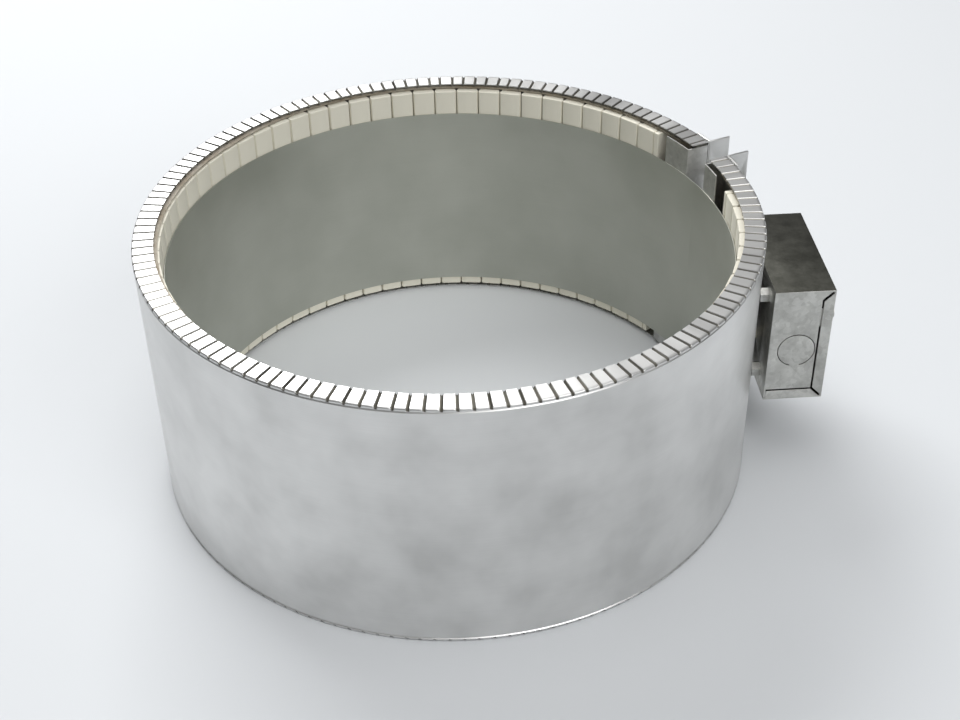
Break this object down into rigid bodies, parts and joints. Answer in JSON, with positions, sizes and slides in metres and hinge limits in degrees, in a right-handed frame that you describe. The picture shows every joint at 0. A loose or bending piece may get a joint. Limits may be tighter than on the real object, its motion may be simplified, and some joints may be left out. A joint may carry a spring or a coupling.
{
  "type": "band heater",
  "caption": "ceramic band heater that clamps round a barrel: fluted steel jacket, knuckle mat with a heating coil, fibre blanket, liner, clamp ears with screws and a terminal box",
  "frame": {"origin": "centre of the barrel bore, at half the band's width", "axes": "+Z along the barrel bore, +X towards the terminal box, +Y completes a right-handed frame; the knock-out end seen in the picture faces -Y"},
  "size_m": [0.4452, 0.4, 0.178],
  "materials": {
    "jacket_steel": "bright cold-rolled sheet",
    "liner_steel": "satin aluminised sheet",
    "box_steel": "satin plated sheet",
    "zinc_steel": "zinc plated",
    "ceramic": "unglazed steatite",
    "ceramic_fibre": "loose fibre",
    "coil_wire": "drawn nickel-chromium wire",
    "brass": "plain"
  },
  "bodies": {
    "heater": {"outer_jacket": "jacket_steel", "inner_liner": "liner_steel", "heating_coil": "coil_wire", "insulation_blanket": "ceramic_fibre", "end_channel_left": "jacket_steel", "end_channel_right": "jacket_steel", "clamp_ear_left": "jacket_steel", "clamp_ear_right": "jacket_steel", "clamp_nut_upper": "zinc_steel", "clamp_nut_lower": "zinc_steel", "terminal_box_body": "box_steel", "terminal_box_cover": "box_steel", "cover_tabs": "box_steel", "cover_screws": "zinc_steel", "box_studs": "zinc_steel", "box_spacers": "zinc_steel", "stud_nuts": "zinc_steel", "terminal_block": "ceramic", "terminal_poles": "brass", "terminal_nuts": "brass", "lead_bushings": "ceramic", "lead_wires": "coil_wire", "knuckle_row_1": "ceramic", "knuckle_row_2": "ceramic", "knuckle_row_3": "ceramic", "knuckle_row_4": "ceramic"},
    "upper_washer": {"clamp_washer_upper": "zinc_steel"},
    "upper_screw": {"clamp_screw_upper": "zinc_steel"},
    "lower_washer": {"clamp_washer_lower": "zinc_steel"},
    "lower_screw": {"clamp_screw_lower": "zinc_steel"}
  },
  "joints": [
    {"name": "upper_screw_travel", "type": "slide", "parent": "heater", "child": "upper_washer", "axis": [-0.3502, 0.9367, 0], "range_m": [0, 0.006]},
    {"name": "upper_screw_turn", "type": "hinge", "parent": "upper_washer", "child": "upper_screw", "pos_m": [0.19576, 0.07319, 0.062], "axis": [-0.3502, 0.9367, 0], "range_deg": [0, 2160]},
    {"name": "lower_screw_travel", "type": "slide", "parent": "heater", "child": "lower_washer", "axis": [-0.3502, 0.9367, 0], "range_m": [0, 0.006]},
    {"name": "lower_screw_turn", "type": "hinge", "parent": "lower_washer", "child": "lower_screw", "pos_m": [0.19576, 0.07319, -0.062], "axis": [-0.3502, 0.9367, 0], "range_deg": [0, 2160]}
  ],
  "couplings": [
    {"joint": "upper_screw_turn", "follows": "upper_screw_travel", "rad_per_m": 6283.2},
    {"joint": "lower_screw_turn", "follows": "lower_screw_travel", "rad_per_m": 6283.2}
  ]
}
